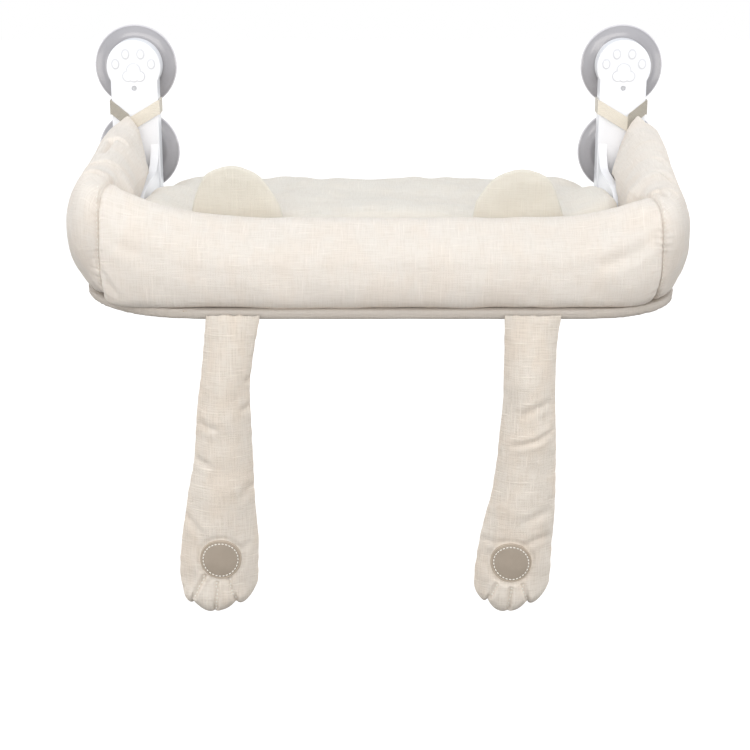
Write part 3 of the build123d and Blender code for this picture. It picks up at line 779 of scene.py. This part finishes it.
SEAM = ((239.0, -307.0), (224.0, -224.0))
SEWN_BEYOND = {-1: 0.0, 1: 4.0}
CORNER = (200.5, -237.0, 60.0)
TIPS = {-1: (-242.5, -42.0, 136.0), 1: (251.0, -42.0, 136.0)}
# Middle and radius by which a way round a section is measured, at a seam, on the front and on a side
SEAM_ROUND, FRONT_ROUND, SIDE_ROUND = (262, 55, 45), (265.5, 43, 42), (47, 60, 46)
# Stitches of each corner seam: how far across they lie, and from what height up to what height
STITCH_X, CORNER_STITCHES = 237.2, ((-1, "left", 30, 112), (1, "right", 24, 100))
BOLSTER_FOLDS = (
    (((-249, -175, 123), (-246.7, -131, 126), (-240, -127, 125), (-231, -132, 121)), 5.0, 3.0),
    (((-253, -215, 119), (-242, -209, 121), (-227, -196, 112)), 4.4, 3.0),
    (((-256, -240, 115), (-246, -250, 118), (-236, -256, 114)), 3.6, 3.0),
    (((-238, -295.5, 50), (-231, -300.5, 34), (-222, -301, 20)), 1.3, 3.0),
    (((-233, -297, 76), (-217, -302, 64), (-197, -304, 57)), 1.2, 5.0),
    (((-233, -286, 97), (-218, -288, 88), (-202, -287, 83)), 0.7, 4.5),
    (((232, -252, 97), (239.5, -252, 102), (245, -268, 100)), 3.6, 2.6),
    (((241, -247, 103), (252, -251, 103), (260, -254, 97)), 3.6, 2.6),
    (((238, -295.5, 78), (223.7, -299.5, 64), (209, -303, 56), (184, -305, 47)), 2.2, 5.0),
    (((236, -291, 91), (220, -289, 79), (201, -290, 73)), 1.2, 5.0),
    (((262, -225, 108), (254, -205, 115), (243, -196, 116)), 2.6, 3.0),
    (((264, -180, 112), (256, -166, 119), (245, -160, 120)), 2.4, 3.0),
    (((265, -140, 114), (258, -124, 122), (246, -118, 124)), 0.8, 2.8),
)


def seam_plane(side, beyond=0.0):
    """A point on the upright plane of a corner seam, and the plane's direction away from the middle."""
    front, rear = ((np.array(end) + (beyond, 0)) * MM for end in SEAM)
    way = np.array([front[0] - rear[0], front[1] - rear[1]])
    way = way / np.linalg.norm(way)
    return (side * front[0], front[1], 0.0), (-way[1] * side, way[0], 0.0)


def past_seam(spots, side, beyond=0.0):
    """How far each point lies past a corner seam, away from the middle."""
    spot, way = seam_plane(side, beyond)
    return (spots - np.array(spot)) @ np.array(way)


def round_of(out, up, middle):
    """How far round a section each point lies."""
    return np.arctan2(up - middle[1] * MM, out - middle[0] * MM) * middle[2] * MM


# How high the web of a bracket stands at each depth
WEB_DEPTH, WEB_TOP = (0, 128, 163, 190, 215), (82.7, 82.7, 74.0, 58.5, 34.0)


def web_line(spots):
    """Height above which cloth clears the web of a bracket, at each point's depth."""
    return np.interp(-spots[:, 1], np.array(WEB_DEPTH) * MM, np.array(WEB_TOP) * MM)


class PERCH_OT_bolsters(bpy.types.Operator):
    """Stuffs the front and side bolsters as one run of cloth and parts them at the corner seams."""
    bl_idname = "perch.bolsters"
    bl_label = "Bolsters"

    def execute(self, context):
        sizes = context.scene.perch_sizes
        whole = self.joined()
        plain = surface_of(whole)
        reskin(whole, sizes.bolster_mesh)
        stuff(whole, sizes.slack, sizes.swell)
        smooth_out(whole, rounds=22)
        keep_near(whole, plain, sizes.stray)
        smooth_out(whole, rounds=8)
        refine(whole, levels=2)
        self.work(whole, sizes)
        for side, name in ((0, "front_bolster"), (-1, "side_bolster_left"), (1, "side_bolster_right")):
            piece = self.parted(whole, side, name + "_cover")
            if side:
                self.overhang(piece, side)
            self.lay(piece, side)
            wear(piece, "linen", "bed", name)
        self.stitches(whole, sizes)
        bpy.data.objects.remove(whole)
        return {"FINISHED"}

    def joined(self):
        """The three plain bolsters as one skin, the front one pushed a little into the others."""
        skin = bmesh.new()
        for node in ("front_bolster", "side_bolster_left", "side_bolster_right"):
            part = skin_of(node, node + "_skin")
            if node == "front_bolster":
                spots = points_of(part)[0]
                for side in (-1, 1):
                    spots[np.abs(past_seam(spots, side)) < 0.05 * MM, 0] += side * 2.0 * MM
                move_points(part, spots)
            skin.from_mesh(part.data)
            bpy.data.objects.remove(part)
        return piece_of("bolsters", skin)

    def work(self, whole, sizes):
        """Presses the folds, the wear, the corners and the seams into the stuffed cloth."""
        spots, facing = points_of(whole)
        spots = raised(spots, facing, rises(spots, (80, 0.5, 11), (30, 0.20, 12)))
        cloth = surface_of(whole)
        for line, depth, width in BOLSTER_FOLDS:
            laid = [np.array(cloth.find_nearest(Vector(spot) * MM)[0]) / MM for spot in line]
            spots = press_fold(spots, facing, laid, depth, width)
        # Slanting creases on the shoulder of the right bolster
        x, y, z = spots.T
        slant = np.sin((y * 0.8 + z * 0.9) / (8.5 * MM) * math.tau + lumps(spots, 40, 13) * 1.6)
        worn = ramp(x, 226, 14) * ramp(z, 70, 30) * np.clip(lumps(spots, 60, 14) * 0.5 + 0.5, 0, 1)
        spots = raised(spots, facing, slant * worn * 0.30 * MM)
        # The front of each side bolster swells, and its upper rear end is drawn to a tip
        for side, tip in TIPS.items():
            x, y, z = spots.T
            bulge = np.sin(ramp(x * side, 238, 32) * math.pi) ** 2 * to_room(facing, 1.3)
            y -= bulge * (y < -200 * MM) * ramp(z, 28, 30) * 5.0 * MM
            shift = np.array(tip) * MM - spots
            pull = bell(np.linalg.norm(shift, axis=1), 10.0) * 0.80
            spots = spots + shift * pull[:, None]
        # The corner seams gather the cloth and draw it in
        for side, seed in ((-1, 21), (1, 22)):
            away = np.abs(past_seam(spots, side, SEWN_BEYOND[side]))
            along = round_of(-spots[:, 1], spots[:, 2], SEAM_ROUND)
            spots = gathers(spots, facing, away, along, height=sizes.pucker, reach=6 * MM,
                            step=6.5 * MM, seed=seed)
            groove = bell(away, 1.4) * 2.3 - bell(away, 3.0, 4.5) * 0.8
            spots = raised(spots, facing, -groove * MM)
        move_points(whole, spots)

    def parted(self, whole, side, name):
        """The cloth of one bolster, cut off at its seams and closed there."""
        part = bmesh.new()
        part.from_mesh(whole.data)
        for end in ((-1, 1) if side == 0 else (side,)):
            spot, way = (Vector(value) for value in seam_plane(end, SEWN_BEYOND[end]))
            facing = way if side == 0 else -way
            cut(part, spot - facing * 0.12 * MM, facing, clear_outer=True)
            rim = [edge for edge in part.edges if edge.is_boundary]
            bmesh.ops.holes_fill(part, edges=rim, sides=0)
        return piece_of(name, part)

    def overhang(self, piece, side):
        """Lets the inner wall of a side bolster swell over the web of the bracket."""
        spots, facing = points_of(piece)
        x, y, z = spots.T
        above = ramp(z - web_line(spots), 0, 4) * fall(z, 116, 24)
        within = fall(y, -62, 34) * ramp(y, -221, 12)
        inward = np.clip(-facing[:, 0] * side * 1.5, 0, 1)
        x -= side * 8.0 * MM * above * within * inward
        move_points(piece, spots)

    def lay(self, piece, side):
        """Lays the weave along each bolster and round it."""
        x, y, z = points_of(piece)[0].T
        if side == 0:
            lay_cloth(piece, x, round_of(-y, z, FRONT_ROUND))
            return
        out = x * side - CORNER[0] * MM
        back = y - CORNER[1] * MM
        radius = CORNER[2] * MM
        in_corner = back < 0
        turn = np.arctan2(out, np.maximum(-back, 1e-6))
        along = np.where(in_corner, turn * radius, radius * math.pi / 2 + back)
        reach = np.where(in_corner, np.hypot(out, back), out)
        lay_cloth(piece, along, round_of(reach, z, SIDE_ROUND))

    def stitches(self, whole, sizes):
        """Thread that shows in the two corner seams."""
        step = sizes.stitch + sizes.stitch_gap
        for side, name, low, high in CORNER_STITCHES:
            across = (side * STITCH_X + SEWN_BEYOND[side]) * MM
            places = [(across, up) for up in np.arange(low * MM, high * MM, step)]
            row = sew(f"corner_stitches_{name}", cast(whole, places), sizes.stitch, sizes.thread)
            wear(row, "thread", "bed")


# The seat pad: how far each end reaches over the web of the bracket, and beside it

PAD_OVER_WEB, PAD_BY_WEB = 218.5, 214.3


class PERCH_OT_seat_pad(bpy.types.Operator):
    """Sews and stuffs the seat pad."""
    bl_idname = "perch.seat_pad"
    bl_label = "Seat pad"

    def execute(self, context):
        sizes = context.scene.perch_sizes
        piece = skin_of("seat_pad", "seat_pad_cover")
        plain = surface_of(piece)
        reskin(piece, sizes.pad_mesh)
        stuff(piece, sizes.slack, sizes.swell)
        smooth_out(piece, rounds=4)
        keep_near(piece, plain, sizes.stray * 1.3)
        refine(piece, levels=1)
        spots, facing = points_of(piece)
        spots = raised(spots, facing, rises(spots, (75, 1.3, 41), (32, 0.7, 42)))
        # The front ends rise and spread over the webs, and the rear ends sink
        x, y, z = spots.T
        front_end = ramp(np.abs(x), 168, 30)
        front_end = front_end * front_end * (3 - 2 * front_end) * ramp(z, 40, 22) * fall(y, -78, 60)
        z += front_end * 13.0 * MM
        z -= ramp(np.abs(x), 176, 36) ** 2 * ramp(y, -130, 60) * ramp(z, 30, 30) * 9.0 * MM
        widest = np.where(z > web_line(spots), PAD_OVER_WEB, PAD_BY_WEB) * MM
        x[:] = np.sign(x) * np.minimum(np.abs(x) + front_end * 9.0 * MM, widest)
        move_points(piece, spots)
        lay_cloth(piece, x, y + (z - 72 * MM) * upright(facing))
        wear(piece, "pad_linen", "bed", "seat_pad")
        return {"FINISHED"}


# The ears, legs and straps

class PERCH_OT_ears(bpy.types.Operator):
    """Stuffs the two ear flaps."""
    bl_idname = "perch.ears"
    bl_label = "Ears"

    def execute(self, context):
        for side, name in ((-1, "left"), (1, "right")):
            piece = skin_of("ear_" + name, f"ear_{name}_flap")
            plain = surface_of(piece)
            reskin(piece, THIN_CELL)
            stuff(piece, slack=0.9 * MM, swell=1.6 * MM)
            keep_near(piece, plain, stray=0.6 * MM)
            refine(piece, levels=1)
            spots, facing = points_of(piece)
            spots = raised(spots, facing, rises(spots, (30, 0.25, 51 + side)))
            x, _, z = spots.T
            # The right ear leans in and sits a little lower
            if side > 0:
                x -= ramp(z, 60, 30) * 4.0 * MM
                z -= ramp(z, 60, 60) * 2.4 * MM
            move_points(piece, spots)
            lay_cloth(piece, x, z)
            wear(piece, "ear_cloth", "ear_l" if side < 0 else "ear_r", "ear_" + name)
        return {"FINISHED"}


# Down a leg: height, middle and width. Then the toes: place across and height of each notch, how
# far each toe hangs below its notches, the stitched lines between the toes, the creases, and the pad
LEG_MIDDLE, LEG_TOP = -303.1, 5.0
LEG_THICKNESS = ((-271, 16), (-252, 23), (-221, 27), (-119, 27), (-53, 23.2), (-20, 12.4), (5, 2.4))
LEGS = {
    "left": {
        "rows": ((-271, -142.2, 69.4), (-240, -141.8, 69.6), (-218, -141.3, 69.5), (-200, -139.8, 68.4),
                 (-181, -138.8, 63.7), (-156, -138.0, 58.2), (-126, -135.0, 51.6), (-90, -134.1, 47.6),
                 (-68, -133.3, 44.4), (-50, -131.3, 41.9), (-17, -126.7, 43.9), (5, -123.3, 45.7)),
        "toes": ((-1, -232.0), (-0.66, -253.5), (-0.11, -265.0), (0.45, -255.0), (1, -236.0)),
        "hang": (11.5, 6.6, 5.6, 11.5),
        "lines": (((-153.7, -231), (-160, -244), (-163.4, -251.5)), ((-142.6, -237), (-144.3, -262)),
                  ((-131.8, -234), (-127.2, -252.5))),
        "folds": ((((-156, -89), (-147, -93), (-137, -95)), 1.3, 2.4), (((-119, -80), (-108, -74)), 1.2, 2.4),
                  (((-163, -122), (-153, -126), (-143, -129)), 1.2, 2.6),
                  (((-109, -146), (-120, -159)), 1.0, 3.0),
                  (((-172, -175), (-164, -182), (-158, -189), (-154, -199)), 1.4, 2.8),
                  (((-108, -51), (-115, -54)), 1.0, 2.2), (((-112, -200), (-121, -207)), 0.8, 2.6)),
        "pad": (-139.0, -214.2),
    },
    "right": {
        "rows": ((-271, 117.6, 66.6), (-244, 118.0, 67.0), (-224, 119.1, 66.7), (-200, 121.1, 64.3),
                 (-175, 124.3, 60.7), (-156, 126.8, 55.8), (-122, 128.9, 50.7), (-90, 129.3, 47.6),
                 (-68, 129.6, 44.9), (-40, 129.4, 44.6), (-17, 129.7, 45.1), (5, 130.8, 47.7)),
        "toes": ((-1, -241.0), (-0.63, -254.5), (-0.09, -265.0), (0.43, -256.0), (1, -238.0)),
        "hang": (9.0, 6.6, 6.0, 11.0),
        "lines": (((104.0, -239), (99.0, -252)), ((116.8, -242), (115.6, -262)),
                  ((126.7, -239), (131.2, -252.5))),
        "folds": ((((149, -70), (136, -75), (121, -83)), 1.3, 2.6),
                  (((153, -96), (135, -105), (113, -110)), 1.6, 2.0),
                  (((151, -170), (138, -175), (124, -181)), 1.1, 3.0),
                  (((153, -195), (139, -196.5), (125, -203)), 1.2, 2.4),
                  (((86, -197.5), (101, -200), (113, -197)), 1.0, 2.4),
                  (((106, -14), (108.5, -22)), 1.0, 2.4)),
        "pad": (116.6, -217.6),
    },
}
# Cells of the nets of a leg and a paw pad, round and along
LEG_CELLS, PAD_CELLS = (168, 240), (120, 64)
# The paw pad's section from its middle outwards, round its piping and back: reach and rise
PAD_SECTION = (
    (0, 2.0), (6, 1.95), (11, 1.6), (13.9, 1.3), (15.2, 0.95), (16.0, 1.1), (16.5, 0.9), (16.8, 0.3),
    (17.0, 1.2), (17.4, 1.6), (17.8, 1.5), (18.2, 0.9), (18.2, 0.15), (12, 0.1), (0, 0.1),
)
# The stitches of a paw pad: how many, how long, and the radius of their ring
PAD_STITCHES, PAD_STITCH, PAD_STITCH_RING = 31, 2.5, 15.2
# Where across the tape is cut into strips that can bend: from, to and step
TAPE_CUTS = (212.0, 262.0, 1.5)


def smooth_read(heights, table, column):
    """Reads a table of heights smoothly, as a cloth edge runs."""
    table = np.array(sorted(table), float) * MM
    fine = np.arange(-0.300, 0.030, 0.001)
    read = np.interp(fine, table[:, 0], table[:, column])
    margin = 14
    soft = np.exp(-(np.arange(-margin, margin + 1) / 6.5) ** 2)
    padded = np.concatenate([np.full(margin, read[0]), read, np.full(margin, read[-1])])
    return np.interp(heights, fine, np.convolve(padded, soft / soft.sum(), "valid"))


def leg_row(table, heights):
    """The middle and the half width of a leg at each height."""
    return smooth_read(heights, table["rows"], 1), smooth_read(heights, table["rows"], 2) / 2


def net(name, across, along, shape):
    """A grid of cells bent by shape, which gives the points for the two shares; its doubles are welded."""
    grid = bmesh.new()
    bmesh.ops.create_grid(grid, x_segments=across, y_segments=along, size=0.5)
    flat = np.array([vert.co[:2] for vert in grid.verts]) + 0.5
    for vert, spot in zip(grid.verts, shape(flat[:, 0], flat[:, 1])):
        vert.co = spot
    bmesh.ops.remove_doubles(grid, verts=grid.verts, dist=0.004 * MM)
    bmesh.ops.recalc_face_normals(grid, faces=grid.faces)
    return piece_of(name, grid)


class PERCH_OT_legs(bpy.types.Operator):
    """Shapes the two hanging legs, with their toes, creases and stitches."""
    bl_idname = "perch.legs"
    bl_label = "Legs"

    def execute(self, context):
        sizes = context.scene.perch_sizes
        for name, body, seed in (("left", "leg_l", 61), ("right", "leg_r", 71)):
            table = LEGS[name]
            piece = net(f"leg_{name}_cover", *LEG_CELLS, lambda around, down: self.shape(table, around, down))
            self.work(piece, table, seed)
            x, _, z = points_of(piece)[0].T
            middle, half = leg_row(table, z)
            share = np.clip((x - middle) / half, -1, 1)
            lay_cloth(piece, x + half * 0.25 * share ** 3, z)
            wear(piece, "leg_linen", body, "leg_" + name)
            places = []
            for line in table["lines"]:
                places += list(spread(np.array(line) * MM, sizes.stitch + sizes.stitch_gap))
            row = sew(f"toe_stitches_{name}", cast(piece, places), sizes.stitch, sizes.thread * 1.6,
                      lift=1.3 * MM)
            wear(row, "thread", body)
        return {"FINISHED"}

    def shape(self, table, around, down):
        """Front and back panel of a leg as one net that goes round it."""
        share = np.cos(around * math.tau)
        front = np.where(around < 0.5, -1.0, 1.0)
        toes = np.array(table["toes"], float)
        place = np.clip(np.searchsorted(toes[:, 0], share, "right") - 1, 0, len(toes) - 2)
        part = (share - toes[place, 0]) / (toes[place + 1, 0] - toes[place, 0])
        hang = np.array(table["hang"])[place]
        round_toe = np.clip(4 * part * (1 - part), 0, 1) ** 0.5
        end = (toes[place, 1] + part * (toes[place + 1, 1] - toes[place, 1]) - hang * round_toe) * MM
        top = LEG_TOP * MM
        height = top + (end - top) * (1 - (1 - down) ** 1.35)
        middle, half = leg_row(table, height)
        thick = smooth_read(height, LEG_THICKNESS, 1) / 2
        bow = np.clip(1 - share ** 2, 0, 1)
        puff = round_toe * fall(height, -236, 14) * np.where(np.abs(share) < 0.5, 2.4, 1.5) * MM
        close = np.sqrt(np.clip(1 - (1 - ramp(height - end, 0, 11)) ** 2, 0, 1))
        start = fall(height, LEG_TOP, 5) ** 0.5
        depth = (thick * bow ** 0.8 + puff * bow ** 0.5) * close * start
        return np.stack([middle + share * half, LEG_MIDDLE * MM + front * depth, height], axis=1)

    def work(self, piece, table, seed):
        """Creases, gathers at the side seams, and the lines between the toes."""
        spots, facing = points_of(piece)
        x, _, z = spots.T
        middle, half = leg_row(table, z)
        from_side = np.maximum(half - np.abs(x - middle), 0.0)
        calm = np.clip(from_side / (5 * MM), 0.25, 1)
        spots = raised(spots, facing, rises(spots, (48, 0.5, seed), (20, 0.18, seed + 1)) * calm)
        for line, depth, width in table["folds"]:
            spots = press_fold(spots, facing, line, depth * 1.1, width * 1.3)
        for line in table["lines"]:
            spots = press_fold(spots, facing, line, depth=1.9, width=1.6, lip=0.5, ends=False)
        x, _, z = spots.T
        pad_gap = np.hypot(x - table["pad"][0] * MM, z - table["pad"][1] * MM)
        spots = raised(spots, facing, -bell(pad_gap, 2.4, 19.5) * to_room(facing) * 1.3 * MM)
        spots = gathers(spots, facing, from_side, spots[:, 2], height=0.14 * MM, reach=7 * MM,
                        step=12 * MM, seed=seed + 2)
        below = np.maximum(LEG_TOP * MM - spots[:, 2], 0.0)
        spots = gathers(spots, facing, below, spots[:, 0], height=0.5 * MM, reach=14 * MM,
                        step=10 * MM, seed=seed + 3)
        # The back of the root is drawn in, clear of the base
        _, y, z = spots.T
        y -= np.maximum(y - LEG_MIDDLE * MM, 0.0) * ramp(z, -18, 10) * 0.75
        move_points(piece, spots)


class PERCH_OT_paw_pads(bpy.types.Operator):
    """Cuts and sews on the round paw pads, each with its piping and its ring of stitches."""
    bl_idname = "perch.paw_pads"
    bl_label = "Paw pads"

    def execute(self, context):
        thick = context.scene.perch_sizes.thread * 1.4
        turns = np.arange(PAD_STITCHES) * (math.tau / PAD_STITCHES)
        ring = np.stack([np.cos(turns), np.sin(turns)], axis=1) * PAD_STITCH_RING * MM
        for name, body in (("left", "leg_l"), ("right", "leg_r")):
            leg = bpy.data.objects[f"leg_{name}_cover"]
            middle = np.array(LEGS[name]["pad"]) * MM
            pad = net(f"paw_pad_{name}_disc", *PAD_CELLS,
                      lambda around, out: self.shape(leg, middle, around, out))
            x, _, z = points_of(pad)[0].T
            lay_cloth(pad, np.hypot(x - middle[0], z - middle[1]), z)
            wear(pad, "paw_leather", body, "paw_pad_" + name)
            row = sew(f"pad_stitches_{name}", cast(pad, middle + ring), PAD_STITCH * MM, thick,
                      lift=0.25 * MM)
            wear(row, "thread", body)
        return {"FINISHED"}

    def shape(self, leg, middle, around, out):
        """The pad's section turned about its middle and laid on the leg."""
        section = np.array(PAD_SECTION) * MM
        walked = walk(section)[1]
        reach, rise = (np.interp(out * walked[-1], walked, column) for column in section.T)
        across = middle[0] + np.cos(around * math.tau) * reach
        up = middle[1] + np.sin(around * math.tau) * reach
        deep = np.array([spot[1] for spot, _ in cast(leg, zip(across, up))])
        return np.stack([across, deep - rise, up], axis=1)


class PERCH_OT_straps(bpy.types.Operator):
    """Sews the tape loops round the uprights."""
    bl_idname = "perch.straps"
    bl_label = "Straps"

    def execute(self, context):
        for side, name in ((-1, "left"), (1, "right")):
            piece = skin_of("strap_" + name, f"strap_{name}_tape")
            fine = bmesh.new()
            fine.from_mesh(piece.data)
            for place in np.arange(*TAPE_CUTS):
                cut(fine, (side * place * MM, 0, 0), (1, 0, 0))
            fine.to_mesh(piece.data)
            fine.free()
            spots = points_of(piece)[0]
            x, y, z = spots.T
            out = x * side
            front = fall(y, -34, 1)
            # The pale side lies over the rough one up to the dip, and sags a little towards it
            over = front * fall(out, STRAP_DIP + 0.8, 0.7) * ramp(out, 214, 8)
            y -= over * 1.3 * MM
            z -= over * ramp(out, 214, 28) * 1.8 * MM
            move_points(piece, spots)
            dip = fall(np.abs(out - STRAP_DIP * MM), 22, 22) * 14.5 * MM * front
            lay_cloth(piece, x + y, z + dip)
            wear(piece, "strap_web", "bed", "strap_" + name, rounded=False)
        return {"FINISHED"}


class PERCH_PT_panel(bpy.types.Panel):
    """Lists the pieces of the perch in the sidebar."""
    bl_idname = "PERCH_PT_panel"
    bl_label = "Window cat perch"
    bl_space_type = "VIEW_3D"
    bl_region_type = "UI"
    bl_category = "Perch"

    def draw(self, context):
        layout = self.layout
        for maker in MAKERS:
            layout.operator(maker.bl_idname)
        for group in (context.scene.perch_sizes, context.scene.perch_colours):
            box = layout.box()
            for name in group.bl_rna.properties.keys():
                if name not in ("rna_type", "name"):
                    box.prop(group, name)


MAKERS = (PERCH_OT_stage, PERCH_OT_brackets, PERCH_OT_cups, PERCH_OT_base, PERCH_OT_bolsters,
          PERCH_OT_seat_pad, PERCH_OT_ears, PERCH_OT_legs, PERCH_OT_paw_pads, PERCH_OT_straps)
CLASSES = (PerchSizes, PerchColours) + MAKERS + (PERCH_PT_panel,)


def register():
    for kind in CLASSES:
        bpy.utils.register_class(kind)
    bpy.types.Scene.perch_sizes = PointerProperty(type=PerchSizes)
    bpy.types.Scene.perch_colours = PointerProperty(type=PerchColours)


def unregister():
    del bpy.types.Scene.perch_colours
    del bpy.types.Scene.perch_sizes
    for kind in reversed(CLASSES):
        bpy.utils.unregister_class(kind)


def main():
    """Builds every piece in order."""
    register()
    for maker in MAKERS:
        group, name = maker.bl_idname.split(".")
        getattr(getattr(bpy.ops, group), name)()


if __name__ == "__main__":
    main()
